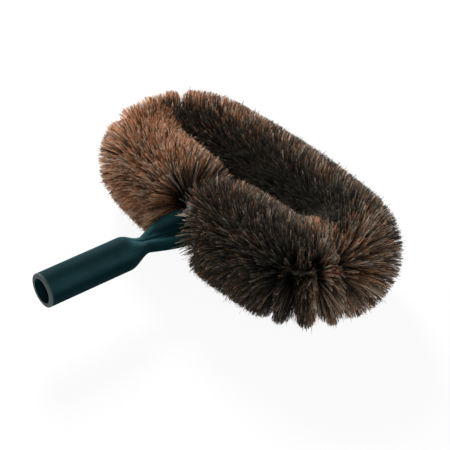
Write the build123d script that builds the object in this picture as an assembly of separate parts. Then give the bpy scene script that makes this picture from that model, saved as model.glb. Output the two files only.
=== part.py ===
from build123d import *
import math
import os

os.makedirs("parts", exist_ok=True)

# The brush lies flat: +Z is up, +Y runs from the mouth of the socket into the head,
# and +X along the head. The origin is the centre of the socket's mouth.

# Barrel of the socket, over the end of a 22 mm stick
bore_radius = 11.25
bore_depth = 76.0
barrel_radius = 15.8
barrel_length = 84.0
rim_chamfer = 1.2

# Neck, where the socket is drawn in before its tail
neck_length = 23.0
neck_half_height = 7.8

# Flat tail with a tube on each side, one for each stem of the core, a thin dished web
# between them and a low ridge along the middle of the web
tail_length = 50.5
spread_length = 42.0
tube_spacing = 33.2
tube_spacing_at_neck = 7.6
tube_radius = 6.0
tube_radius_at_neck = 5.6
web_half_height = 2.3
web_half_height_at_neck = 5.0
ridge_half_width = 2.4
ridge_half_width_at_neck = 1.3
ridge_half_height = 5.4
ridge_end_half_height = 2.9

# Two galvanised wires, twisted together
wire_radius = 1.75
wire_sides = 6
twist_clearance = 0.3
seat_clearance = 0.3
stem_end_clearance = 1.5
stem_exposed = 4.8
stem_turns = 0.5
rings_per_turn = 8

# Oval that the twisted core follows
stem_bend_radius = 15.0
head_half_length = 127.7
head_half_width = 42.1
head_end_share = 0.879
head_end_radius = head_half_width * head_end_share

# Hair, in slices round the core, after a bare length of the first stem's bend
bristle_radius = 48.0
floor_cut = 0.5
bare_length = 14.0
slices = 12
rows_per_slice = 16
rows_per_turn = 12
strand_sides = 3
strand_radius = 1.45
root_wall = 1.8
root_clearance = 0.4
root_sides = 8
rings_per_slice = 8
middle_gap = 2.6
crowding_share = 0.3
least_strand = 5.0

# Outline of a quarter of the tail, as flat sides of the tube, the web and the ridge,
# and the shares of a quarter turn at which the round barrel's outline meets them
tube_facets = 8
web_facets = 3
ridge_facets = 3
web_from_share = 0.55
ridge_from_share = 0.85
neck_rings = 6
tail_rings = 10

# Places along the socket
neck_end = barrel_length + neck_length
tail_end = neck_end + tail_length
overrun = 1.0

# Sizes of the twisted core and of the sleeve of packed hair roots that clears it
twist_radius = wire_radius + twist_clearance
core_radius = twist_radius + wire_radius
root_inner = core_radius + root_clearance
root_outer = root_inner + root_wall

# The oval is four tangent arcs: two long sides and two round ends
end_offset = head_half_length - head_end_radius
side_radius = (end_offset**2 + head_half_width**2 - head_end_radius**2) / (
    2 * (head_half_width - head_end_radius)
)
side_offset = side_radius - head_half_width
side_angle = math.atan2(side_offset, end_offset)

# Each stem turns out of the tail through a bend that is tangent to the near side
stem_offset = tube_spacing / 2
bend_offset = stem_offset + stem_bend_radius
bend_rise = math.sqrt((side_radius + stem_bend_radius) ** 2 - bend_offset**2)
bend_angle = math.atan2(bend_rise, bend_offset)
bend_start = tail_end + stem_exposed
head_centre = bend_start + bend_rise - side_offset

# Runs of the core as (length, curvature), from stem to stem round the head
bend_run = (stem_bend_radius * bend_angle, 1 / stem_bend_radius)
near_run = (side_radius * (bend_angle - side_angle), -1 / side_radius)
end_run = (2 * head_end_radius * side_angle, -1 / head_end_radius)
far_run = (side_radius * (math.pi - 2 * side_angle), -1 / side_radius)
loop_runs = (bend_run, near_run, end_run, far_run, end_run, near_run, bend_run)
loop_length = sum(length for length, curvature in loop_runs)
haired_length = loop_length - bare_length
row_step = haired_length / (slices * rows_per_slice)
pitch = rows_per_turn * row_step
stem_length = stem_turns * pitch
stem_run = (stem_length, 0)
core_runs = (stem_run, *loop_runs, stem_run)
core_length = loop_length + 2 * stem_length
hair_start = stem_length + bare_length


def across(y):
    """Plane across the socket at y, with its own x along X and its own y up."""
    return Plane(origin=(0, y, 0), x_dir=(1, 0, 0), z_dir=(0, -1, 0))


def eased(start, end, share):
    """Value that leaves start and reaches end without a corner at either."""
    return start + (end - start) * math.sin(share * math.pi / 2) ** 2


def spread(start, end, share):
    """Value that leaves start at once and comes gently to end."""
    return start + (end - start) * math.sin(share * math.pi / 2)


def polar(radius, angle):
    """Point at an angle round the middle of a cross-section."""
    return Vector(radius * math.cos(angle), radius * math.sin(angle))


def parts_of(start, end, count):
    """Values that divide the way from start to end in equal parts, without its start."""
    return [start + (end - start) * step / count for step in range(1, count + 1)]


def barrel_quarter():
    """Corners of a quarter of the barrel's outline, matched to those of the tail's."""
    shares = [0]
    shares += parts_of(0, web_from_share, tube_facets)
    shares += parts_of(web_from_share, ridge_from_share, web_facets)
    shares += parts_of(ridge_from_share, 1, ridge_facets)
    return [polar(barrel_radius, share * math.pi / 2) for share in shares]


def tail_quarter(share):
    """Corners of a quarter of the tail's outline: round the tube, along the web, up the ridge."""
    widening = min(share * tail_length / spread_length, 1)
    centre = Vector(spread(tube_spacing_at_neck, tube_spacing, widening) / 2, 0)
    radius = eased(tube_radius_at_neck, tube_radius, widening)
    web = spread(web_half_height_at_neck, web_half_height, widening)
    foot = spread(ridge_half_width_at_neck, ridge_half_width, widening)
    crest = spread(neck_half_height, ridge_half_height, widening)
    crest -= (ridge_half_height - ridge_end_half_height) * widening**2
    turn = math.pi - math.asin(web / radius)
    tube_foot = centre + polar(radius, turn)
    corners = [centre + polar(radius, angle) for angle in (0, *parts_of(0, turn, tube_facets))]
    corners += [Vector(x, web) for x in parts_of(tube_foot.X, foot, web_facets)]
    for climb in parts_of(0, 1, ridge_facets):
        corners.append(Vector(foot * (1 - climb), web + (crest - web) * climb**2))
    return corners


def neck_quarter(share):
    """Corners of a quarter of the neck's outline, between the barrel's and the tail's."""
    return [eased(a, b, share) for a, b in zip(barrel_quarter(), tail_quarter(0))]


def outline(y, quarter):
    """Corners of the closed outline at y, from a quarter of it and its mirror images."""
    half = quarter + [Vector(-corner.X, corner.Y) for corner in quarter[-2::-1]]
    whole = half + [Vector(corner.X, -corner.Y) for corner in half[-2:0:-1]]
    return [across(y).from_local_coords(corner) for corner in whole]


def barrel():
    """Round barrel with a broken edge at its mouth."""
    tube = extrude(across(0) * Circle(barrel_radius), -barrel_length)
    return chamfer(tube.edges().sort_by(Axis.Y)[0], rim_chamfer)


def flat_sided(rings):
    """Solid with flat faces through rings of corners, closed at both ends."""
    faces = [Face(Wire.make_polygon(rings[0])), Face(Wire.make_polygon(rings[-1]))]
    for first, second in zip(rings, rings[1:]):
        for side in range(len(first)):
            a, b = first[side - 1], first[side]
            c, d = second[side], second[side - 1]
            faces.append(Face(Wire.make_polygon([a, b, c])))
            faces.append(Face(Wire.make_polygon([a, c, d])))
    return Part() + Solid(Shell(faces))


def neck_and_tail():
    """One form from the round barrel through the waist to the flat tail."""
    rings = [outline(barrel_length, barrel_quarter())]
    for share in parts_of(0, 1, neck_rings):
        rings.append(outline(barrel_length + share * neck_length, neck_quarter(share)))
    for share in parts_of(0, 1, tail_rings):
        rings.append(outline(neck_end + share * tail_length, tail_quarter(share)))
    return flat_sided(rings)


def stick_bore():
    """Blind bore for the stick, open at the mouth."""
    return extrude(across(-overrun) * Circle(bore_radius), -bore_depth - overrun)


def stem_bores():
    """Blind bores in the tail's tubes, one for each stem."""
    start = bend_start - stem_length - stem_end_clearance
    hole = extrude(
        across(start) * Circle(core_radius + seat_clearance), start - tail_end - overrun
    )
    return Pos(-stem_offset, 0, 0) * hole + Pos(stem_offset, 0, 0) * hole


def socket():
    """Moulded socket that joins the stick to the twisted core."""
    return barrel() + neck_and_tail() - stick_bore() - stem_bores()


def core_plane(distance):
    """Plane across the core: origin on its line, x to the left, y up, z along it."""
    x = -stem_offset
    y = bend_start - stem_length
    heading = math.pi / 2
    left = distance
    for length, curvature in core_runs:
        run = min(left, length)
        if curvature:
            turned = heading + curvature * run
            x += (math.sin(turned) - math.sin(heading)) / curvature
            y -= (math.cos(turned) - math.cos(heading)) / curvature
            heading = turned
        else:
            x += run * math.cos(heading)
            y += run * math.sin(heading)
        left -= run
        if left <= 0:
            break
    return Plane(
        origin=(x, y, 0),
        x_dir=(-math.sin(heading), math.cos(heading), 0),
        z_dir=(math.cos(heading), math.sin(heading), 0),
    )


def core_curvature(distance):
    """Curvature of the core's line, positive where it bends to the left."""
    left = distance
    for length, curvature in core_runs:
        if left <= length:
            return curvature
        left -= length
    return 0


def ring(plane, radius, sides):
    """Corners of a regular polygon in a plane, one of them on the plane's own x."""
    turns = [2 * math.pi * side / sides for side in range(sides)]
    return [plane.from_local_coords(polar(radius, turn)) for turn in turns]


def wire_plane(distance, phase):
    """Plane across one wire, which winds round the core's line once each pitch."""
    cross = core_plane(distance)
    turn = 2 * math.pi * (distance - stem_length) / pitch + phase
    side = cross.x_dir * math.cos(turn) + cross.y_dir * math.sin(turn)
    around = cross.y_dir * math.cos(turn) - cross.x_dir * math.sin(turn)
    along = 1 - core_curvature(distance) * twist_radius * math.cos(turn)
    slope = 2 * math.pi * twist_radius / pitch
    heading = (cross.z_dir * along + around * slope).normalized()
    upright = Vector(0, 0, 1)
    upright = (upright - heading * upright.dot(heading)).normalized()
    return Plane(origin=cross.origin + side * twist_radius, x_dir=upright, z_dir=heading)


def core_wire(phase):
    """One wire from the left stem round the head to the right stem."""
    steps = round(rings_per_turn * core_length / pitch)
    places = [core_length * step / steps for step in range(steps + 1)]
    return flat_sided([ring(wire_plane(p, phase), wire_radius, wire_sides) for p in places])


def clear_reach(cross, curvature, side):
    """How far hair may reach level with the core, on one side, before it meets other hair."""
    reach = bristle_radius
    toward = cross.x_dir * side
    if curvature * side > 0:
        reach = min(reach, (1 - crowding_share) / abs(curvature))
    if (head_centre - cross.origin.Y) * toward.Y > 0:
        reach = min(reach, (head_centre - cross.origin.Y) / toward.Y - middle_gap)
    if cross.origin.X * toward.X < 0:
        reach = min(reach, -cross.origin.X / toward.X - middle_gap)
    return reach


def strand_length(cross, curvature, angle):
    """Length of a strand from the core's line, short where it would meet other hair."""
    level = math.cos(angle)
    reach = clear_reach(cross, curvature, math.copysign(1, level))
    if bristle_radius * abs(level) <= reach:
        return bristle_radius
    return reach / abs(level)


def strand(cross, angle, length):
    """Three-sided strand from inside the root sleeve to its tip."""
    outward = cross.x_dir * math.cos(angle) + cross.y_dir * math.sin(angle)
    around = cross.y_dir * math.cos(angle) - cross.x_dir * math.sin(angle)
    start = root_outer - root_wall / 2
    root = Plane(origin=cross.origin + outward * start, x_dir=around, z_dir=outward)
    return extrude(root * RegularPolygon(strand_radius, strand_sides), length - start)


def sleeve(start, length):
    """Sleeve of packed hair roots round one stretch of the core."""
    places = [start + length * step / rings_per_slice for step in range(rings_per_slice + 1)]
    planes = [core_plane(place) for place in places]
    corner = math.cos(math.pi / root_sides)
    outer = flat_sided([ring(plane, root_outer / corner, root_sides) for plane in planes])
    inner = flat_sided([ring(plane, root_inner / corner, root_sides) for plane in planes])
    return outer - inner


def bristle_slice(number):
    """One slice of hair: strands in two rows that wind with the wires, out of one sleeve."""
    length = rows_per_slice * row_step
    start = hair_start + number * length
    strands = []
    for row in range(rows_per_slice):
        distance = start + (row + 1 / 2) * row_step
        cross = core_plane(distance)
        curvature = core_curvature(distance)
        turned = 2 * math.pi * (number * rows_per_slice + row) / rows_per_turn
        for angle in (turned, turned + math.pi):
            reach = strand_length(cross, curvature, angle)
            if reach > root_outer + least_strand:
                strands.append(strand(cross, angle, reach))
    hair = sleeve(start, length) + strands
    floor = Plane.XY.offset(floor_cut - bristle_radius)
    return split(hair, bisect_by=floor, keep=Keep.TOP)


export_step(socket(), "parts/socket.step")
export_step(core_wire(0), "parts/core_wire_1.step")
export_step(core_wire(math.pi), "parts/core_wire_2.step")
for number in range(slices):
    export_step(bristle_slice(number), f"parts/bristles_{number + 1:02d}.step")
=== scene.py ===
import math

import bpy
import numpy as np
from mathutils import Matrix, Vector


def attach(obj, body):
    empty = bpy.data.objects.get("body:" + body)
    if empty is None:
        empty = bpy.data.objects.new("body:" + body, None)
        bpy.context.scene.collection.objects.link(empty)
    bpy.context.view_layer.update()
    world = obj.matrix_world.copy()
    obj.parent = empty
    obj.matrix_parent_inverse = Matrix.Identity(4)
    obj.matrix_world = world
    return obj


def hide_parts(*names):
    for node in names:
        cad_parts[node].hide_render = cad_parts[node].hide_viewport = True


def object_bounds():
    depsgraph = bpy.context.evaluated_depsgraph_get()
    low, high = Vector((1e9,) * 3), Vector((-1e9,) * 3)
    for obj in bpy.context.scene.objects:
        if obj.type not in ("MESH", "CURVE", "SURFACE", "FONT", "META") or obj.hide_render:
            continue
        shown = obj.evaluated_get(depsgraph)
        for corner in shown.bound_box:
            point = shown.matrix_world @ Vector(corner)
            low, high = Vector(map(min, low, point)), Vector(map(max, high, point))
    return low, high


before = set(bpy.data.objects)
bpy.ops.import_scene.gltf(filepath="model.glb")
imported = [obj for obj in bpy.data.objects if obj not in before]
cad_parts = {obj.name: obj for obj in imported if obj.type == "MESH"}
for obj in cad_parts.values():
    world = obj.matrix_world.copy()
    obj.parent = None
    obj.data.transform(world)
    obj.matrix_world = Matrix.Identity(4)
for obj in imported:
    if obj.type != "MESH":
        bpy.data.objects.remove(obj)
cad_box = [list(corner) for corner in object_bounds()]

bl_info = {
    "name": "Cobweb brush",
    "version": (1, 0, 0),
    "blender": (4, 5, 0),
    "location": "3D View > Sidebar > Brush",
    "description": "Builds a cobweb brush round its packed solids",
    "category": "Add Mesh",
}

MM = 0.001
UP = (0.0, 0.0, 1.0)
TINY = 1e-9  # keeps a sign or a division off nothing
BODY = "root"
SLICES = 12
HAIR_MAP = "OFBake"
FLOOR_GAP = 0.1 * MM  # between the hair and the floor


# Settings

def size(name, description, default):
    """Length in metres, shown in the sidebar, from a default in millimetres."""
    return bpy.props.FloatProperty(
        name=name, description=description, default=default * MM, unit="LENGTH", precision=5
    )


def degrees(name, description, default):
    """Angle, from a default in degrees."""
    return bpy.props.FloatProperty(
        name=name, description=description, default=math.radians(default), subtype="ANGLE"
    )


def share(name, description, default):
    """Number from nothing to one."""
    return bpy.props.FloatProperty(
        name=name, description=description, default=default, min=0, max=1, subtype="FACTOR"
    )


def count(name, description, default):
    """Whole number."""
    return bpy.props.IntProperty(name=name, description=description, default=default, min=1)


def colour(name, description, default):
    """Linear colour."""
    return bpy.props.FloatVectorProperty(
        name=name, description=description, default=default, size=3, min=0, max=1, subtype="COLOR"
    )


class SocketSettings(bpy.types.PropertyGroup):
    """Sizes and colours of the moulded socket"""

    bore_radius: size("Bore radius", "Radius of the hole for the stick", 11.25)
    bore_depth: size("Bore depth", "Depth of the hole for the stick", 76)
    barrel_radius: size("Barrel radius", "Outer radius of the round barrel", 15.8)
    barrel_length: size("Barrel length", "From the mouth to the start of the neck", 84)
    rim_chamfer: size("Rim chamfer", "Broken edge round the outside of the mouth", 1.2)
    lip: size("Lip", "Rounding of the mouth's inner edge", 0.5)
    neck_length: size("Neck length", "Where the barrel is drawn in", 23)
    neck_half_height: size("Neck half height", "Half the thickness of the waist", 7.8)
    tail_length: size("Tail length", "Flat tail behind the waist", 50.5)
    spread_length: size("Spread length", "Where the two tubes move apart", 42)
    tube_spacing: size("Tube spacing", "Between the axes of the two tubes", 33.2)
    waist_spacing: size("Spacing at the waist", "Between the tubes at the waist", 7.6)
    tube_radius: size("Tube radius", "Outer radius of each tube", 6)
    waist_tube_radius: size("Tube radius at the waist", "Outer radius at the waist", 5.6)
    web_half_height: size("Web half height", "Half the thickness between the tubes", 2.3)
    waist_web: size("Web half height at the waist", "The same at the waist", 5)
    ridge_half_width: size("Ridge half width", "Foot of the middle ridge", 2.4)
    waist_ridge: size("Ridge half width at the waist", "Foot of the ridge there", 1.3)
    ridge_half_height: size("Ridge half height", "Height of the middle ridge", 5.4)
    ridge_end: size("Ridge end half height", "Height of the ridge at the tail's end", 2.9)
    blend: size("Blend", "Rounding where tubes, web and ridge meet", 0.7)
    plastic: colour("Plastic", "Colour of the moulded plastic", (0.003, 0.017, 0.02))
    # pale dust colour, also used for the painted sheen and highlight on the upper plastic
    dust_and_sheen: colour("Dust", "Pale bloom on the plastic", (0.02, 0.062, 0.07))
    worn: colour("Worn", "Scuffed plastic along the rim", (0.107, 0.127, 0.127))


class CoreSettings(bpy.types.PropertyGroup):
    """Sizes and colours of the twisted wire core"""

    wire_radius: size("Wire radius", "Radius of each of the two wires", 1.75)
    pitch: size("Twist pitch", "Length of one full twist", 26.34)
    phase: degrees("Twist phase", "Turn of the first wire where its bend starts", -10.5)
    stem_offset: size("Stem offset", "From the middle to each stem", 16.6)
    stem_start: size("Stem start", "Where each wire starts inside its tube", 145)
    bend_start: size("Bend start", "Where the stems bend outwards", 162.3)
    bend_radius: size("Bend radius", "Radius of the bend of each stem", 15)
    half_length: size("Half length", "Half the length of the oval", 127.7)
    half_width: size("Half width", "Half the width of the oval", 42.1)
    end_radius: size("End radius", "Radius of the oval's round ends", 37)
    # near-white zinc: the wire's own light grey, raised into a painted glint
    zinc: colour("Zinc", "Colour of the bright galvanised wire", (0.9, 0.88, 0.83))
    # dull tarnish colour, also the painted shade on the wire inside the hair
    tarnish_and_shade: colour("Tarnish", "Dull grey patches on the zinc", (0.1, 0.095, 0.085))


class HairSettings(bpy.types.PropertyGroup):
    """Sizes and colours of the hair"""

    tufts: count("Tufts", "Tufts of hair in each slice of the brush", 2600)
    strands: count("Strands", "Strands in each tuft", 4)
    seed: count("Seed", "Start of the random draws", 7)
    radius: size("Trim radius", "From the core to the trimmed tips", 48)
    root: size("Root radius", "Where the hair comes out of the core", 1.6)
    thickness: size("Thickness", "Width of a strand", 0.31)
    trim: size("Trim", "Unevenness of the trimmed tips", 0.8)
    tuft_width: size("Tuft width", "Spread of the strands of a tuft", 0.4)
    clump: size("Clump", "Distance between clumps at the tips", 6)
    pull: size("Pull", "How far each wave moves the tips into clumps", 0.55)
    stray: size("Stray", "How far the tips of tufts wander", 2.6)
    bow: size("Bow", "How far the middle of a tuft bends aside", 0.9)
    bare: size("Bare length", "Bare wire on the first stem's bend", 15.5)
    end_reach: size("End reach", "How far from its ends the hair leans towards the socket", 20)
    first_lean: degrees("First lean", "Most lean at the first end", 14)
    last_lean: degrees("Last lean", "Most lean at the last end", 68)
    away_lean: degrees("Away lean", "Most lean away from the socket at the last end", 40)
    lean_side: degrees("Leaning side", "Where round the core the hair leans most", 30)
    centre: size("Centre", "Middle of the oval along Y", 218.82)
    inner_shade: share("Inner shade", "How much darker the sheltered hair in the oval is", 1)
    back_shade: share("Back shade", "How much darker the hair at the back is", 0.5)
    # roots deep in the brush: partly the hair's own dark roots, partly painted shade
    root_and_depth_shade: colour("Roots", "Hair deep in the brush", (0.010, 0.0112, 0.009))
    # darkest hair, also the colour that the painted shade inside the oval and at the back falls
    # to
    dark: colour("Dark hair", "Darkest hair", (0.014, 0.0145, 0.012))
    brown: colour("Brown hair", "Common brown hair", (0.2, 0.094, 0.047))
    red: colour("Red hair", "Reddish hair", (0.55, 0.235, 0.11))
    grey: colour("Grey hair", "Common grey-brown hair", (0.125, 0.104, 0.078))
    fawn: colour("Fawn hair", "Lighter grey-brown hair", (0.36, 0.26, 0.18))
    ginger: colour("Ginger hair", "Lightest reddish hair", (0.68, 0.39, 0.235))
    pale: colour("Pale hair", "The few pale hairs", (0.66, 0.55, 0.43))


class StageSettings(bpy.types.PropertyGroup):
    """Camera, floor and lamps"""

    azimuth: degrees("Azimuth", "Direction of the camera round the brush", 52.4)
    elevation: degrees("Elevation", "Height of the camera above the brush", 36.28)
    distance: size("Distance", "From the camera to the point it looks at", 1200)
    look_x: size("Look at X", "Point that the camera looks at", 20)
    look_y: size("Look at Y", "Point that the camera looks at", 181.9)
    lens: bpy.props.FloatProperty(
        name="Lens", description="Focal length", default=105.44, unit="CAMERA"
    )
    floor: colour("Floor", "Colour of the pale floor", (0.86, 0.86, 0.86))


SETTINGS = (SocketSettings, CoreSettings, HairSettings, StageSettings)


# Shader maths

class Value:
    """A number that a shader works out: expressions on it add the Math nodes."""

    def __init__(self, nodes, socket):
        self.nodes = nodes
        self.socket = socket

    def __add__(self, other):
        return self.nodes.maths("ADD", self, other)

    def __sub__(self, other):
        return self.nodes.maths("SUBTRACT", self, other)

    def __rsub__(self, other):
        return self.nodes.maths("SUBTRACT", other, self)

    def __mul__(self, other):
        return self.nodes.maths("MULTIPLY", self, other)

    def __pow__(self, other):
        return self.nodes.maths("POWER", self, other)

    __radd__ = __add__
    __rmul__ = __mul__

    def ramp(self, low, high):
        """Nothing below low, one above high, and a smooth climb between."""
        node = self.nodes.node(
            "ShaderNodeMapRange",
            {"interpolation_type": "SMOOTHSTEP", "clamp": True},
            {"Value": self, "From Min": low, "From Max": high},
        )
        return Value(self.nodes, node.outputs["Result"])


class Nodes:
    """Short ways to add nodes to one tree."""

    def __init__(self, tree):
        self.tree = tree

    def node(self, kind, settings=None, inputs=None):
        """Adds a node: its settings first, then the values or links of its sockets."""
        node = self.tree.nodes.new(kind)
        for name, value in (settings or {}).items():
            if name == "stops":
                self.set_stops(node.color_ramp, value)
            else:
                setattr(node, name, value)
        for name, value in (inputs or {}).items():
            self.feed(node.inputs[name], value)
        return node

    def feed(self, socket, value):
        """Links a socket, or sets it."""
        if isinstance(value, Value):
            value = value.socket
        if isinstance(value, bpy.types.NodeSocket):
            self.tree.links.new(value, socket)
        else:
            socket.default_value = value

    @staticmethod
    def set_stops(ramp, stops):
        """Gives a colour ramp its places and colours."""
        while len(ramp.elements) < len(stops):
            ramp.elements.new(1)
        for element, (place, tint) in zip(ramp.elements, stops):
            element.position = place
            element.color = (*tint, 1)

    def maths(self, operation, *terms):
        """What a Math node makes of its terms."""
        node = self.node("ShaderNodeMath", {"operation": operation}, dict(enumerate(terms)))
        return Value(self, node.outputs[0])

    def place(self):
        """Object coordinates, in metres."""
        return self.node("ShaderNodeTexCoord").outputs["Object"]

    def noise(self, place, scale, detail=3, roughness=0.55, stretch=(1, 1, 1)):
        """Cloudy pattern from nothing to one, of so many waves a metre."""
        mapped = self.node("ShaderNodeMapping", None, {"Vector": place, "Scale": stretch})
        inputs = {"Vector": mapped.outputs[0], "Scale": scale, "Detail": detail,
                  "Roughness": roughness}
        node = self.node("ShaderNodeTexNoise", None, inputs)
        return Value(self, node.outputs["Fac"])

    def parts(self, vector):
        """The three numbers of a vector."""
        node = self.node("ShaderNodeSeparateXYZ", None, {0: vector})
        return [Value(self, output) for output in node.outputs]

    def mixed(self, factor, first, second):
        """One colour, where the factor is one another, and between them a mixture."""
        node = self.node(
            "ShaderNodeMix", {"data_type": "RGBA", "clamp_factor": True}, {"Factor": factor}
        )
        colours = [socket for socket in node.inputs if socket.type == "RGBA"]
        for socket, value in zip(colours, (first, second)):
            self.feed(socket, (*value, 1) if isinstance(value, tuple) else value)
        return [socket for socket in node.outputs if socket.type == "RGBA"][0]


class Finish(Nodes):
    """A material with one Principled shader."""

    def __init__(self, name, **constants):
        self.material = bpy.data.materials.new(name)
        self.material.use_nodes = True
        super().__init__(self.material.node_tree)
        self.shader = self.tree.nodes["Principled BSDF"]
        self.output = self.tree.nodes["Material Output"]
        self.paint(**constants)

    def bump(self, height, distance, strength):
        """Relief of a height from nothing to one, so many metres deep."""
        node = self.node(
            "ShaderNodeBump", None, {"Height": height, "Distance": distance, "Strength": strength}
        )
        self.feed(self.shader.inputs["Normal"], node.outputs["Normal"])

    def paint(self, **sockets):
        """Sets the shader's sockets, or feeds them what varies over the surface."""
        for socket, value in sockets.items():
            self.feed(self.shader.inputs[socket.replace("_", " ")], value)
        return self.material


# Surfaces

def put_in_scene(name, vertices, loops, loop_starts, material, slot):
    """Makes a smooth mesh object from whole arrays. With a slot it rides on the brush."""
    mesh = bpy.data.meshes.new(name)
    mesh.vertices.add(len(vertices))
    mesh.vertices.foreach_set("co", np.ascontiguousarray(vertices, np.float32).ravel())
    mesh.loops.add(len(loops))
    mesh.loops.foreach_set("vertex_index", np.ascontiguousarray(loops, np.int32))
    mesh.polygons.add(len(loop_starts))
    mesh.polygons.foreach_set("loop_start", np.ascontiguousarray(loop_starts, np.int32))
    mesh.update(calc_edges=True)
    mesh.polygons.foreach_set("use_smooth", np.ones(len(loop_starts), bool))
    mesh.materials.append(material)
    piece = bpy.data.objects.new(name, mesh)
    bpy.context.scene.collection.objects.link(piece)
    if slot:
        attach(piece, BODY)
    return piece


def sheet(rows, around, first=False, last=False):
    """Corners and faces of a grid of points: rows one after another, closed round or not.

    Each face joins two neighbouring points of a row to the same two of the next row. One
    flat face may close the first row, and one the last."""
    count_rows, columns = rows.shape[:2]
    column = np.arange(columns if around else columns - 1)
    right = (column + 1) % columns
    low = np.arange(count_rows - 1)[:, None] * columns
    high = low + columns
    quads = np.stack([low + column, low + right, high + right, high + column], -1)
    caps = [column[::-1]] if first else []
    caps += [low[-1] + columns + column] if last else []
    sizes = [4] * (quads.size // 4) + [columns] * len(caps)
    starts = np.cumsum([0] + sizes[:-1])
    return rows.reshape(-1, 3), np.concatenate([quads.ravel(), *caps]), starts


def grid(x, y, z):
    """Rows of points, from coordinates spread over the same rows and columns."""
    return np.stack(np.broadcast_arrays(x, y, z), -1)


def unit(vectors):
    """Vectors over their lengths."""
    return vectors / np.linalg.norm(vectors, axis=-1, keepdims=True)


def rings_round(along, aside, sides):
    """Corners of a ring of radius one at each place, square to the way along.

    One axis of a ring is the cross product of the ways along and aside, the other that of
    the way along and the first axis."""
    first = unit(np.cross(along, aside))
    second = np.cross(along, first)
    turn = np.arange(sides)[:, None] / sides * 2 * np.pi
    return first[:, None] * np.cos(turn) + second[:, None] * np.sin(turn)


def eased(start, end, part):
    """Start plus the way to end times the squared sine of a quarter turn's part."""
    return start + (end - start) * np.sin(part * np.pi / 2) ** 2


def spread(start, end, part):
    """Start plus the way to end times the sine of a quarter turn's part."""
    return start + (end - start) * np.sin(part * np.pi / 2)


def rounded_max(first, second, blend):
    """The larger of two, rounded where they cross: half of their sum plus the root of
    their difference squared plus the blend squared."""
    return (first + second + np.sqrt((first - second) ** 2 + blend**2)) / 2


# Socket

def tail_height(settings, place, centre, radius, web, foot, crest):
    """Half thickness of the tail at a distance from its middle.

    Outside the tube's axis it is the tube's circle. Inside, it is the rounded largest of
    the circle, the web, and a ridge that climbs with the square of the nearness."""
    away = np.abs(place)
    circle = np.sqrt(np.clip(radius**2 - (away - centre) ** 2, 0, None))
    near = np.clip(1 - np.sqrt(place**2 + (settings.blend / 2) ** 2) / foot, 0, None)
    ridge = web + (crest - web) * near**2
    inner = rounded_max(circle, ridge, settings.blend)
    return np.where(away > centre, circle, inner)


def tail_rows(settings, turn, part):
    """Outlines across the tail at parts of its length, as x and z for each turn.

    x is the half width times the turn's cosine, and z the height there with the sign of
    its sine."""
    widening = np.clip(part * settings.tail_length / settings.spread_length, 0, 1)
    centre = spread(settings.waist_spacing, settings.tube_spacing, widening) / 2
    radius = eased(settings.waist_tube_radius, settings.tube_radius, widening)
    web = spread(settings.waist_web, settings.web_half_height, widening)
    foot = spread(settings.waist_ridge, settings.ridge_half_width, widening)
    crest = spread(settings.neck_half_height, settings.ridge_half_height, widening)
    crest = crest - (settings.ridge_half_height - settings.ridge_end) * widening**2
    x = (centre + radius) * np.cos(turn)
    height = tail_height(settings, x, centre, radius, web, foot, crest)
    return x, height * np.sign(np.sin(turn) + TINY)


def barrel_profile(settings, corner_rows=6, bore_rows=24, barrel_rows=48):
    """Radius and place along Y of each circle of the bore, the mouth and the barrel."""
    bore, barrel, chamfer = settings.bore_radius, settings.barrel_radius, settings.rim_chamfer
    lip, depth = settings.lip, settings.bore_depth
    corner = np.linspace(0, np.pi / 2, corner_rows)
    profile = [(bore * 0.5, depth), (bore - lip, depth), (bore, depth - lip)]
    profile += [(bore, y) for y in np.linspace(depth - 2 * lip, 2 * lip, bore_rows)]
    profile += [(bore + lip * (1 - math.cos(a)), lip * (1 - math.sin(a))) for a in corner]
    face = barrel - chamfer
    profile += [(bore + lip + (face - bore - lip) * part, 0) for part in (0.3, 0.7)]
    profile += [(face + chamfer * math.sin(a), chamfer * (1 - math.cos(a))) for a in corner]
    outside = np.linspace(2 * chamfer, settings.barrel_length, barrel_rows)
    profile += [(barrel, y) for y in outside]
    return np.array(profile).T[..., None]


TAIL_END = (
    # shares of the tail's width and height, row by row over its end
    (0.995, 0.97),
    (0.99, 0.9),
    (0.99, 0.6),
    (0.99, 0.3),
    (0.99, 0.0),
)


def socket_rows(settings, columns=288, neck_steps=28, tail_steps=60):
    """The socket as one sheet: bore, mouth, barrel, neck, tail and the tail's end.

    Each row of the barrel is its radius times the cosine and sine of the turn. A point
    of the neck goes from the barrel's circle to the outline of the waist. The turn goes
    from +X to -Z, so that faces point outwards."""
    turn = -(np.arange(columns) + 0.5) / columns * 2 * np.pi
    x_round, z_round = np.cos(turn), np.sin(turn)
    radius, along = barrel_profile(settings)
    rows = [grid(radius * x_round, along, radius * z_round)]
    x_waist, z_waist = tail_rows(settings, turn, np.zeros((1, 1)))
    part = np.linspace(0, 1, neck_steps + 1)[1:, None]
    x = eased(settings.barrel_radius * x_round, x_waist, part)
    z = eased(settings.barrel_radius * z_round, z_waist, part)
    rows.append(grid(x, settings.barrel_length + part * settings.neck_length, z))
    waist_end = settings.barrel_length + settings.neck_length
    part = np.linspace(0, 1, tail_steps + 1)[1:, None]
    x, z = tail_rows(settings, turn, part)
    rows.append(grid(x, waist_end + part * settings.tail_length, z))
    width, height = np.array(TAIL_END).T[..., None]
    rows.append(grid(x[-1] * width, waist_end + settings.tail_length, z[-1] * height))
    return np.concatenate(rows)


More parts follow.
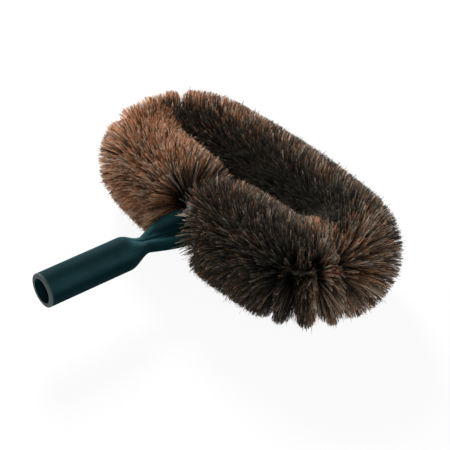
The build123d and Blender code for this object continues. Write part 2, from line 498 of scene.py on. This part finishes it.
# Where the socket's finish changes, from and to
BORE_EDGE = (0.1 * MM, 0.8 * MM)  # outwards from the bore's wall, where wear comes
RIM = (0.2 * MM, 3.4 * MM)  # along Y, where the rim's wear goes
FLANK_FOOT = (1 * MM, 9 * MM)  # upwards, where the dust and painted sheen of the flanks come
FLANK_TOP = (11 * MM, 16 * MM)  # upwards, where it goes
TUBE_START = (112 * MM, 128 * MM)  # along Y, where the left tube's painted highlight comes
TUBE_SIDE = (-12 * MM, -4 * MM)  # across, where it goes
NECK_START = (80 * MM, 92 * MM)  # along Y, where the neck starts to get paler
NECK_END = (102 * MM, 110 * MM)  # along Y, where it goes
PLASTIC_RELIEF = 0.12 * MM


def socket_finish(settings):
    """Satin moulded plastic, near black with a teal cast: dust and painted sheen on the upper
    flanks, a painted highlight on the left tube, a paler neck, and worn at the rim.
    """
    finish = Finish("socket_plastic", Specular_IOR_Level=0.006)
    place = finish.place()
    x, y, z = finish.parts(place)
    cloud = finish.noise(place, 55, 4)
    streak = finish.noise(place, 260, 3, stretch=(1, 0.12, 1))
    grain = finish.noise(place, 2600, 2)
    scuff = finish.noise(place, 420, 5, 0.7)
    outside = ((x * x + z * z) ** 0.5 - settings.bore_radius).ramp(*BORE_EDGE)
    near_rim = 1 - y.ramp(*RIM)
    worn = near_rim * outside * (0.45 + 0.75 * scuff)
    bloom = 0.6 + 0.4 * (cloud * 0.6 + streak * 0.4).ramp(0.36, 0.72)
    # dust and painted sheen on the upper flanks, mottled by the bloom
    flank_sheen = z.ramp(*FLANK_FOOT) - z.ramp(*FLANK_TOP)
    # painted highlight along the left tube
    left_tube_highlight = y.ramp(*TUBE_START) * (1 - x.ramp(*TUBE_SIDE))
    # paler band on the neck
    neck = y.ramp(*NECK_START) - y.ramp(*NECK_END)
    # dust and painted sheen on the flanks, painted highlight on the left tube, paler neck
    dust_and_sheen_share = bloom * flank_sheen + 0.6 * left_tube_highlight + 0.2 * neck
    tint = finish.mixed(dust_and_sheen_share, tuple(settings.plastic), tuple(settings.dust_and_sheen))
    tint = finish.mixed(worn, tint, tuple(settings.worn))
    rough = 0.5 + 0.16 * cloud + 0.1 * streak + 0.2 * worn
    finish.bump(grain * 0.5 + streak * 0.4 + scuff * worn * 2, PLASTIC_RELIEF, 0.5)
    return finish.paint(Base_Color=tint, Roughness=rough)


# Core

def core_runs(core):
    """Lengths and curvatures of the core, from one stem round the oval to the other.

    The oval is four tangent arcs, and each stem's bend is tangent to the near side."""
    reach = core.half_length - core.end_radius
    side = (reach**2 + core.half_width**2 - core.end_radius**2) / (
        2 * (core.half_width - core.end_radius)
    )
    side_turn = math.atan2(side - core.half_width, reach)
    offset = core.stem_offset + core.bend_radius
    rise = math.sqrt((side + core.bend_radius) ** 2 - offset**2)
    bend_turn = math.atan2(rise, offset)
    bend = (core.bend_radius * bend_turn, 1 / core.bend_radius)
    near = (side * (bend_turn - side_turn), -1 / side)
    end = (2 * core.end_radius * side_turn, -1 / core.end_radius)
    far = (side * (math.pi - 2 * side_turn), -1 / side)
    stem = (core.bend_start - core.stem_start, 0)
    return [stem, bend, near, end, far, end, near, bend, stem]


def core_line(core, distance):
    """Points, headings and curvatures at distances along the core.

    Distance is nothing where the first stem's bend starts. A run turns by its length times its
    curvature, and moves by the difference of sines and cosines over the curvature."""
    runs = core_runs(core)
    left = distance + runs[0][0]
    x = np.full_like(left, -core.stem_offset)
    y = np.full_like(left, core.stem_start)
    heading = np.full_like(left, np.pi / 2)
    bend = np.zeros_like(left)
    for length, curvature in runs:
        run = np.clip(left, 0, length)
        bend = np.where(left > 0, curvature, bend)
        if curvature:
            turned = heading + curvature * run
            x = x + (np.sin(turned) - np.sin(heading)) / curvature
            y = y - (np.cos(turned) - np.cos(heading)) / curvature
            heading = turned
        else:
            x = x + run * np.cos(heading)
            y = y + run * np.sin(heading)
        left = left - length
    return np.stack([x, y, np.zeros_like(x)], -1), heading, bend


def loop_length(core):
    """Length of the core between the starts of its two stems' bends."""
    return sum(length for length, curvature in core_runs(core)[1:-1])


def outward(heading, angle):
    """Directions square to the core: the left times the cosine plus up times the sine."""
    return np.stack(
        [-np.sin(heading) * np.cos(angle), np.cos(heading) * np.cos(angle), np.sin(angle)], -1
    )


def wire_rows(core, phase, sides=14, step=1.5 * MM):
    """One wire: a circle carried along a line that winds round the core once each pitch."""
    stem = core.bend_start - core.stem_start
    length = loop_length(core) + 2 * stem
    distance = np.linspace(-stem, length - stem, round(length / step))
    line, heading, _ = core_line(core, distance)
    twist = 2 * np.pi * distance / core.pitch + phase
    middle = line + core.wire_radius * outward(heading, twist)
    rings = rings_round(unit(np.gradient(middle, axis=0)), UP, sides)
    return middle[:, None] + core.wire_radius * rings


SHADED_WIRE = (176 * MM, 186 * MM)  # from and to, along Y, where painted shade comes over the wire that hair hides
WIRE_RELIEF = 0.1 * MM


def wire_finish(core):
    """Galvanised wire: fine drawn lines, dull patches, and painted shade that covers it where
    hair hides it.
    """
    finish = Finish("galvanised_wire", Metallic=0.1)
    place = finish.place()
    # painted shade on the wire where hair hides it
    hair_shade = finish.parts(place)[1].ramp(*SHADED_WIRE)
    # dull tarnish patches, joined by the painted shade
    patches = 1 - (1 - finish.noise(place, 240, 4).ramp(0.42, 0.66)) * (1 - hair_shade)
    fine = finish.noise(place, 1900, 2)
    tint = finish.mixed(patches, tuple(core.zinc), tuple(core.tarnish_and_shade))
    finish.bump(fine, WIRE_RELIEF, 0.4)
    return finish.paint(Base_Color=tint, Roughness=0.28 + 0.2 * patches + 0.1 * fine)


# Hair

PARTINGS = (
    # place along the core, its change in a quarter turn, and the push before and after
    # it, all in millimetres
    (129.5, -20.0, 3.2, 3.0),
    (137.5, -6.0, 1.2, 1.2),
    (149.0, -3.0, 1.2, 1.2),
    (162.0, 0.0, 1.8, 1.6),
    (445.0, 0.0, 1.5, 4.0),
    (458.0, 1.0, 2.6, 3.0),
    (473.0, 2.0, 2.6, 2.6),
    (480.0, -6.0, 1.6, 1.6),
)
PARTING_REACH = 8 * MM  # how far from a parting it pushes hair
STRAIGHT_PUSH = 0.4  # share of the push where the core is straight
END_PUSH = 1.5  # how much that share grows on the outside of a round end

LIGHTNESS = (
    # place along X in trim radii from the middle, and the hair's lightness on the far side and on
    # the side of the socket, partly its own tone and partly painted light and shade
    (-2.6, 0.48, 0.66),
    (-1.3, 0.5, 0.68),
    (-0.5, 0.38, 0.44),
    (0.3, 0.4, 0.04),
    (1.2, 0.42, 0.0),
    (2.3, 0.44, 0.02),
    (2.5, 0.46, 0.06),
    (2.58, 0.5, 0.6),
)
SIDE_BLEND = (0.1, 1.2)  # the socket side's share at the middle, and its growth in a radius
INSIDE_REACH = 1.2  # how far from the oval's middle line the hair is inside, in trim radii
OPEN_SHADE = 0.1  # share of the inner shade on the side of the socket
BACK_START = 0.8  # where the back starts, in trim radii from the middle

LEAN_POWER = 0.4  # below one, so that most of the hair leans nearly the whole way
AWAY_START = 0.3  # cosine from the leaning side below which hair leans away

WAVES = 16  # plane waves that are summed
WAVE_LENGTHS = (0.7, 0.8)  # the shortest, as a share of the mean clump, and how much is added
STRAY_ALONG = 0.7  # share of a tuft's straying that goes along the core
LONG_SHARE = 0.5  # share that stays of a tuft's length beyond the trim

PATCH_SIZE = 1.3  # size of the patches of one tone, in clumps
PATCH_TONE = 0.08  # how much a wave of patches changes the tone
TONE_SPREAD = (0.33, 0.08)  # from tuft to tuft at the middle, and what the left end adds
LEFT_REACH = 100 * MM  # from the middle to where the left end is full
REDDISH = (0.56, 0.24)  # share of reddish tufts at the middle, and what the left end adds
SHADE_START = 0.3  # lightness below which reddish tufts are fewer
SHADE_GREYS = 0.6  # how fast they get fewer below it
SHADE_DEPTH = 0.6  # how far below it they still get fewer

PLANE_SPREAD = 0.05  # unevenness of the hair that is cut off at a middle plane
TIDY_SHARE = 0.82  # share of the strands that keep to their tuft
LOOSE_SPREAD = 5  # how much wider the tips of the others spread
ROOT_SPREAD = 0.5  # share of a tuft's width at its roots
MIDDLE = 0.6  # where a strand has its middle ring
LATE_SWING = 0.4  # share of a tip's swing that its middle stays behind
STRAND_TONE = 0.17  # how much the tone changes from strand to strand
STRAND_WIDTH = (0.8, 0.4)  # the least width, and how much wider the widest is
TIP_WIDTH = 0.8  # width of a strand's tip, as a share of its middle's

CHART_START = 0.02  # where in the colour chart the darkest reddish hair is
CHART_WIDTH = 0.36  # from there to the lightest
CHART_GREY = 0.5  # from a reddish tone to the same tone of grey hair
CHART_STRAND = 0.003  # half the width of a strand in the chart
CHART_ROOT, CHART_TIP = 0.01, 0.99  # root and tip along the chart
CHART_CLOSED = 0.96  # last corner of the closed tip along the chart
TIP_TONE = 0.1  # how much farther across the chart a strand takes its tip's colour
LIGHT_TONES = (0.2, 0.7)  # share of a half of the chart at which light hair comes, from and to
LENGTH_ALONG = (0.0, 0.4)  # how far along the chart a strand's length comes, from and to
TIP_ALONG = (0.8, 1.0)  # and its tip
LENGTH_BRIGHT = (0.14, 0.72)  # how bright a dark strand's length is, and what light ones add
HAIR_TONES = (
    # place in the colour chart, and the colour there
    (0.11, "dark"),
    (0.24, "brown"),
    (0.38, "red"),
    (0.48, "ginger"),
    (0.5, "dark"),
    (0.61, "dark"),
    (0.74, "grey"),
    (0.88, "fawn"),
    (0.98, "pale"),
)


def combed(core, distance, angle, bend):
    """How far tips move along the core, away from the partings, and how much they lose.

    A parting's place changes with the angle. Both are less with the distance from it, and
    are most on the outside of a round end and nothing on its inside."""
    wrapped = (angle + np.pi) % (2 * np.pi) - np.pi
    outside = STRAIGHT_PUSH - END_PUSH * bend * core.end_radius * np.cos(wrapped)
    outside = np.clip(outside, 0, 1)
    push = np.zeros_like(distance)
    loss = np.zeros_like(distance)
    for place, lean, before, after in PARTINGS:
        beyond = distance - (place + lean * wrapped / (np.pi / 2)) * MM
        near = np.clip(1 - abs(beyond) / PARTING_REACH, 0, 1)
        push += np.where(beyond < 0, -before, after) * MM * near
        loss += (before + after) * MM * near**3
    return push * outside, loss * outside


def clumped(hair, distance, angle, wavelength, seed):
    """Sum of plane waves over the brush, along the core and round it.

    A wave's sine shifts along its own heading, so that tips gather where it falls."""
    draw = np.random.default_rng(seed)
    heading = 2 * np.pi * draw.random(WAVES)
    lengths = wavelength * (WAVE_LENGTHS[0] + WAVE_LENGTHS[1] * draw.random(WAVES))
    number = 2 * np.pi / lengths
    start = 2 * np.pi * draw.random(WAVES)
    around = np.rint(number * np.sin(heading) * hair.radius)
    wave = distance[:, None] * number * np.cos(heading) + angle[:, None] * around + start
    return np.sin(wave) @ np.cos(heading), np.sin(wave) @ np.sin(heading)


def end_lean(core, hair, distance, angle, draw):
    """Lean of the tips along the core, towards the socket at both ends of the hair.

    It fades with the distance from the end, and with the angle from the leaning side.
    On the other side the last end's hair leans away, and bares the wire."""
    from_first = np.clip(1 - (distance - hair.bare) / hair.end_reach, 0, 1)
    from_last = np.clip(1 - (loop_length(core) - distance) / hair.end_reach, 0, 1)
    chance = draw.random(len(distance)) ** LEAN_POWER
    facing = np.cos(angle - hair.lean_side)
    towards = hair.last_lean * from_last - hair.first_lean * from_first
    away = hair.away_lean * from_last * np.clip(AWAY_START - facing, 0, 1)
    return chance * (towards * np.clip(facing, 0, 1) - away)


def lightness(core, hair, root, tip):
    """Tone by place, partly the hair's own tone and partly painted light and shade: between the
    two rows of lightness by how far the tip is from the middle, less painted shade on the far
    side's hair near the middle of the oval and less painted shade on its back."""
    place, *sides = (np.array(column) for column in zip(*LIGHTNESS))
    far, near = (np.interp(root[:, 0] / hair.radius, place, side) for side in sides)
    across = tip[:, 1] - hair.centre
    nearer = np.clip(SIDE_BLEND[0] - SIDE_BLEND[1] * across / hair.radius, 0, 1)
    beyond = np.maximum(abs(tip[:, 0]) - core.half_length + core.half_width, 0)
    inside = np.clip(INSIDE_REACH - np.hypot(beyond, across) / hair.radius, 0, 1)
    sheltered = np.where(root[:, 1] > hair.centre, 1, OPEN_SHADE)
    back = np.clip(across / hair.radius - BACK_START, 0, 1)
    tone = far + (near - far) * nearer
    return tone - hair.inner_shade * inside * sheltered - hair.back_shade * back


def tuft_tones(hair, light, left, patch, draw):
    """Tone and greyness of each tuft, from its lightness, nearness to the left end and patch.

    The tone is the lightness plus the patch's part and a random one. More tufts are reddish at
    the left end, and fewer where it is dark, so that painted shade is greyer."""
    tone = light + PATCH_TONE * patch
    tone += (TONE_SPREAD[0] + TONE_SPREAD[1] * left) * draw.standard_normal(hair.tufts)
    shade = np.clip(SHADE_START - light, 0, SHADE_DEPTH)
    reddish = REDDISH[0] + REDDISH[1] * left - SHADE_GREYS * shade
    return np.clip(tone, 0, 1), draw.random(hair.tufts) > reddish


def tuft_lines(core, hair, number, draw):
    """Root, tip, swing, tone and greyness of each tuft of one slice of the brush.

    A tip stands off the core's line by the trim radius, along the outward direction
    times the cosine of its lean plus the heading times the sine. Its swing is the part
    along the heading."""
    tufts = hair.tufts
    haired = loop_length(core) - hair.bare
    part = (number + (np.arange(tufts) + draw.random(tufts)) / tufts) / SLICES
    distance = hair.bare + part * haired
    angle = 2 * np.pi * draw.random(tufts)
    line, heading, bend = core_line(core, distance)
    root = line + hair.root * outward(heading, angle)
    along_clump, round_clump = clumped(hair, distance, angle, hair.clump, hair.seed)
    stray = draw.standard_normal((2, tufts)) * hair.stray
    slip = hair.pull * along_clump + stray[0] * STRAY_ALONG
    angle = angle + (hair.pull * round_clump + stray[1]) / hair.radius
    push, loss = combed(core, distance + slip, angle, bend)
    line, heading, _ = core_line(core, distance + slip + push)
    lean = end_lean(core, hair, distance, angle, draw)[:, None]
    along = np.stack([np.cos(heading), np.sin(heading), np.zeros(tufts)], -1)
    direction = outward(heading, angle) * np.cos(lean) + along * np.sin(lean)
    cut = draw.standard_normal(tufts) * hair.trim
    reach = (hair.radius - loss + np.minimum(cut, cut * LONG_SHARE))[:, None]
    tip = line + direction * reach
    swing = along * np.sin(lean) * reach
    light = lightness(core, hair, root, tip)
    left = -np.clip(root[:, 0] / LEFT_REACH, -1, 1)
    patch = clumped(hair, distance, angle, hair.clump * PATCH_SIZE, hair.seed + 1)[0]
    return root, tip, swing, *tuft_tones(hair, light, left, patch, draw)


def kept_part(hair, roots, tips, floor, draw):
    """Part of each strand on its own side of the floor and of the middle planes.

    A strand meets a plane at the plane's distance from its root over the distance from
    root to tip. Hair of the two stems keeps to its side of the brush's middle."""
    run = tips - roots
    run = np.where(abs(run) < TINY, TINY, run)
    middle = 1 + PLANE_SPREAD * draw.standard_normal(len(roots))
    met = [(floor - roots[:, 2]) / run[:, 2]]
    met.append((hair.centre - roots[:, 1]) / run[:, 1] * middle)
    met.append(np.where(roots[:, 1] < hair.centre, -roots[:, 0] / run[:, 0], 2) * middle)
    kept = np.ones(len(roots))
    for part in met:
        kept = np.where(part > 0, np.minimum(kept, part), kept)
    return kept


def strand_points(core, hair, number, draw, floor):
    """Root, middle and tip of every strand of one slice, its place in the colour chart,
    and its kept part. Most of a strand's swing is in its outer part. The chart's lower
    half is reddish hair and its upper half grey."""
    root, tip, swing, tone, grey = tuft_lines(core, hair, number, draw)
    shape = (hair.tufts, hair.strands, 3)
    loose = np.where(draw.random(shape[:2]) < TIDY_SHARE, 1, LOOSE_SPREAD)[..., None]
    offset = draw.standard_normal(shape) * hair.tuft_width
    roots = (root[:, None] + offset * ROOT_SPREAD).reshape(-1, 3)
    tips = (tip[:, None] + offset * loose).reshape(-1, 3)
    bow = draw.standard_normal((hair.tufts, 1, 3)) * hair.bow + offset
    kept = kept_part(hair, roots, tips, floor, draw)
    tips = roots + (tips - roots) * kept[:, None]
    middles = roots * (1 - MIDDLE) + tips * MIDDLE + bow.reshape(-1, 3)
    middles -= LATE_SWING * np.repeat(swing, hair.strands, 0) * kept[:, None]
    middles[:, 2] = np.maximum(middles[:, 2], floor)
    tones = tone[:, None] + STRAND_TONE * draw.standard_normal(shape[:2])
    chart = CHART_START + CHART_WIDTH * np.clip(tones, 0, 1) + CHART_GREY * grey[:, None]
    return np.stack([roots, middles, tips], 1), chart.ravel(), kept


def strand_surface(points, tones, kept, thickness, draw):
    """Three-sided strands from a pointed root through a middle ring to a closed tip.

    Each ring is three corners a third of a turn apart, square to the strand. Corner 0 is
    the root, 1 to 3 are the middle ring, and 4 to 6 the tip's. The map holds the strand's
    tone across and the way from root to tip along."""
    strands = len(points)
    along = unit(points[:, 2] - points[:, 0])
    ring = rings_round(along, draw.standard_normal((strands, 3)), 3)
    taper = thickness / 2 * np.array([1, TIP_WIDTH])[:, None, None]
    width = STRAND_WIDTH[0] + STRAND_WIDTH[1] * draw.random(strands)
    offset = ring[:, None] * taper * width[:, None, None, None]
    rings = (points[:, 1:, None] + offset).reshape(strands, 6, 3)
    vertices = np.concatenate([points[:, :1], rings], 1)
    side = np.arange(3)
    step = (side + 1) % 3
    cone = np.stack([side * 0, 1 + step, 1 + side], -1).ravel()
    tube = np.stack([1 + side, 1 + step, 4 + step, 4 + side], -1).ravel()
    faces = np.concatenate([cone, tube, [4, 5, 6]])
    starts = np.concatenate([np.arange(0, 9, 3), np.arange(9, 21, 4), [21]])
    base = np.arange(strands)[:, None]
    loops = (base * 7 + faces).reshape(-1)
    loop_starts = (base * len(faces) + starts).reshape(-1)
    across = np.where(faces == 0, 0, (faces - 1) % 3 - 1) * CHART_STRAND
    height = np.where(faces == 0, CHART_ROOT, np.where(faces < 4, MIDDLE, CHART_TIP))
    height[-1] = CHART_CLOSED
    chart = np.stack([tones[:, None] + across, height * kept[:, None]], -1)
    return vertices.reshape(-1, 3), loops, loop_starts, chart


def hair_finish(hair):
    """Dull animal hair, reddish or grey: dark roots, partly painted shade deep in the brush,
    brown lengths and lighter tips.

    A strand's lightness is the part of its tone within its half of the chart. Light
    strands are bright from their lengths on, and dark ones only at their tips."""
    finish = Finish("brush_hair", Roughness=0.7, Specular_IOR_Level=0.08)
    chart = finish.node("ShaderNodeUVMap", {"uv_map": HAIR_MAP}).outputs[0]
    tone, along, _ = finish.parts(chart)
    stops = [(place, tuple(getattr(hair, name))) for place, name in HAIR_TONES]
    ramp = finish.node("ShaderNodeValToRGB", {"stops": stops}, {0: tone + TIP_TONE * along})
    light = finish.maths("FRACT", tone * 2).ramp(*LIGHT_TONES)
    length = LENGTH_BRIGHT[0] + LENGTH_BRIGHT[1] * light
    # dark lengths brightening to the tips: partly the hair's own colour, partly painted shade
    # deep in the brush
    bright = length * along.ramp(*LENGTH_ALONG) + (1 - length) * along.ramp(*TIP_ALONG)
    tint = finish.mixed(bright, tuple(hair.root_and_depth_shade), ramp.outputs[0])
    return finish.paint(Base_Color=tint)


def add_hair(core, hair, number, material, floor):
    """One slice of hair, in place of the solid strands of the same slice."""
    draw = np.random.default_rng(hair.seed * 100 + number)
    points, tones, kept = strand_points(core, hair, number, draw, floor)
    surface = strand_surface(points, tones, kept, hair.thickness, draw)
    vertices, loops, starts, chart = surface
    piece = put_in_scene(f"hair_{number + 1:02d}", vertices, loops, starts, material, "hair")
    layer = piece.data.uv_layers.new(name=HAIR_MAP)
    layer.uv.foreach_set("vector", np.ascontiguousarray(chart, np.float32).ravel())
    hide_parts(f"bristles_{number + 1:02d}")


# Operators

class BRUSH_OT_socket(bpy.types.Operator):
    """Adds the moulded socket over its solid"""

    bl_idname = "brush.socket"
    bl_label = "Socket"

    def execute(self, context):
        settings = context.scene.brush_socket
        rows = socket_rows(settings)
        material = socket_finish(settings)
        surface = sheet(rows, True, first=True)
        piece = put_in_scene("socket_shell", *surface, material, "socket")
        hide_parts("socket")
        return {"FINISHED"}


class BRUSH_OT_core(bpy.types.Operator):
    """Adds the two twisted wires over their solids"""

    bl_idname = "brush.core"
    bl_label = "Twisted wires"

    def execute(self, context):
        core = context.scene.brush_core
        material = wire_finish(core)
        for number in (1, 2):
            rows = wire_rows(core, core.phase + np.pi * (number - 1))
            surface = sheet(rows, True, first=True, last=True)
            piece = put_in_scene(f"wire_{number}", *surface, material, "core")
            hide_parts(f"core_wire_{number}")
        return {"FINISHED"}


class BRUSH_OT_hair(bpy.types.Operator):
    """Adds the hair, slice by slice"""

    bl_idname = "brush.hair"
    bl_label = "Hair"

    def execute(self, context):
        core, hair = context.scene.brush_core, context.scene.brush_hair
        material = hair_finish(hair)
        floor = cad_box[0][2] + FLOOR_GAP
        for number in range(SLICES):
            add_hair(core, hair, number, material, floor)
        return {"FINISHED"}


class BRUSH_OT_stage(bpy.types.Operator):
    """Adds the floor, the lamps and the camera"""

    bl_idname = "brush.stage"
    bl_label = "Stage"

    def execute(self, context):
        stage = context.scene.brush_stage
        add_floor(stage)
        add_world()
        add_lamps()
        add_camera(stage)
        context.scene.view_settings.view_transform = "Standard"
        return {"FINISHED"}


def seen_directly(nodes):
    """One for what the camera sees itself, in a reflection or through glass."""
    path = nodes.node("ShaderNodeLightPath")
    seen, reflected, through = (
        Value(nodes, path.outputs[f"Is {kind} Ray"])
        for kind in ("Camera", "Glossy", "Transmission")
    )
    return nodes.maths("MAXIMUM", seen, nodes.maths("MAXIMUM", reflected, through))


FLOOR_WHITE = 0.93  # share of pure white in what the camera sees of the floor
FLOOR_CLOUD = 0.97  # darkest clouds of the floor, as a share of its colour
ROOM_LIGHT = 0.16  # light that the surroundings throw on the brush


def add_floor(stage, half=4.0, cells=8):
    """A flat grid under the brush, white to the camera apart from a soft shadow."""
    edge = np.linspace(-half, half, cells + 1)
    x, y = np.meshgrid(edge, edge)
    rows = grid(x, y, cad_box[0][2])
    finish = Finish("pale_floor", Roughness=0.8)
    cloud = finish.noise(finish.place(), 6, 2)
    cloudy = tuple(FLOOR_CLOUD * part for part in stage.floor)
    tint = finish.mixed(cloud, tuple(stage.floor), cloudy)
    finish.paint(Base_Color=tint)
    white = finish.node("ShaderNodeEmission", None, {"Color": (1, 1, 1, 1), "Strength": 1})
    factor = seen_directly(finish) * FLOOR_WHITE
    mix = finish.node(
        "ShaderNodeMixShader",
        None,
        {0: factor, 1: finish.shader.outputs[0], 2: white.outputs[0]},
    )
    finish.feed(finish.output.inputs["Surface"], mix.outputs[0])
    piece = put_in_scene("floor", *sheet(rows, False), finish.material, None)


def add_world():
    """Pale surroundings, white where the camera or a gloss sees them."""
    world = bpy.data.worlds.new("pale_room")
    world.use_nodes = True
    bpy.context.scene.world = world
    nodes = Nodes(world.node_tree)
    inputs = world.node_tree.nodes["Background"].inputs
    nodes.feed(inputs["Color"], (1, 1, 1, 1))
    nodes.feed(inputs["Strength"], ROOM_LIGHT + (1 - ROOM_LIGHT) * seen_directly(nodes))


LAMPS = (
    # name, place, what it faces, width, power
    ("key", (-1.15, 0.7, 0.7), (0.0, 0.16, 0.0), 0.5, 62.0),
    ("fill", (1.1, -0.5, 1.0), (0.1, 0.18, 0.0), 0.6, 9.0),
)


def add_lamps():
    """A large soft key above the far left end and a weak fill by the camera."""
    for name, place, target, width, power in LAMPS:
        lamp = bpy.data.lights.new(name, "AREA")
        lamp.size = width
        lamp.energy = power
        holder = bpy.data.objects.new(name, lamp)
        holder.location = place
        aim = Vector(target) - Vector(place)
        holder.rotation_euler = aim.to_track_quat("-Z", "Y").to_euler()
        bpy.context.scene.collection.objects.link(holder)


def add_camera(stage):
    """Looks down at the brush from its near right, level from side to side."""
    back = Vector((
        math.sin(stage.azimuth) * math.cos(stage.elevation),
        -math.cos(stage.azimuth) * math.cos(stage.elevation),
        math.sin(stage.elevation),
    ))
    camera = bpy.data.cameras.new("camera")
    camera.lens = stage.lens
    camera.sensor_width = 36
    camera.clip_start = 0.01
    holder = bpy.data.objects.new("camera", camera)
    holder.location = Vector((stage.look_x, stage.look_y, 0)) + back * stage.distance
    holder.rotation_euler = (-back).to_track_quat("-Z", "Y").to_euler()
    bpy.context.scene.collection.objects.link(holder)
    bpy.context.scene.camera = holder


class BRUSH_PT_panel(bpy.types.Panel):
    """Lists the pieces of the brush and their settings"""

    bl_idname = "BRUSH_PT_panel"
    bl_label = "Cobweb brush"
    bl_space_type = "VIEW_3D"
    bl_region_type = "UI"
    bl_category = "Brush"

    def draw(self, context):
        for operator, group in zip(OPERATORS, GROUPS):
            box = self.layout.box()
            box.operator(operator.bl_idname)
            settings = getattr(context.scene, group)
            for name in settings.__annotations__:
                box.prop(settings, name)


OPERATORS = (BRUSH_OT_socket, BRUSH_OT_core, BRUSH_OT_hair, BRUSH_OT_stage)
GROUPS = ("brush_socket", "brush_core", "brush_hair", "brush_stage")
CLASSES = (*SETTINGS, *OPERATORS, BRUSH_PT_panel)


def register():
    """Registers the classes and hangs the settings on the scene."""
    for item in CLASSES:
        bpy.utils.register_class(item)
    for group, settings in zip(GROUPS, SETTINGS):
        setattr(bpy.types.Scene, group, bpy.props.PointerProperty(type=settings))


def unregister():
    """Takes the settings and the classes away again."""
    for group in GROUPS:
        delattr(bpy.types.Scene, group)
    for item in reversed(CLASSES):
        bpy.utils.unregister_class(item)


def main():
    """Builds the brush and its stage."""
    register()
    bpy.ops.brush.socket()
    bpy.ops.brush.core()
    bpy.ops.brush.hair()
    bpy.ops.brush.stage()


if __name__ == "__main__":
    main()
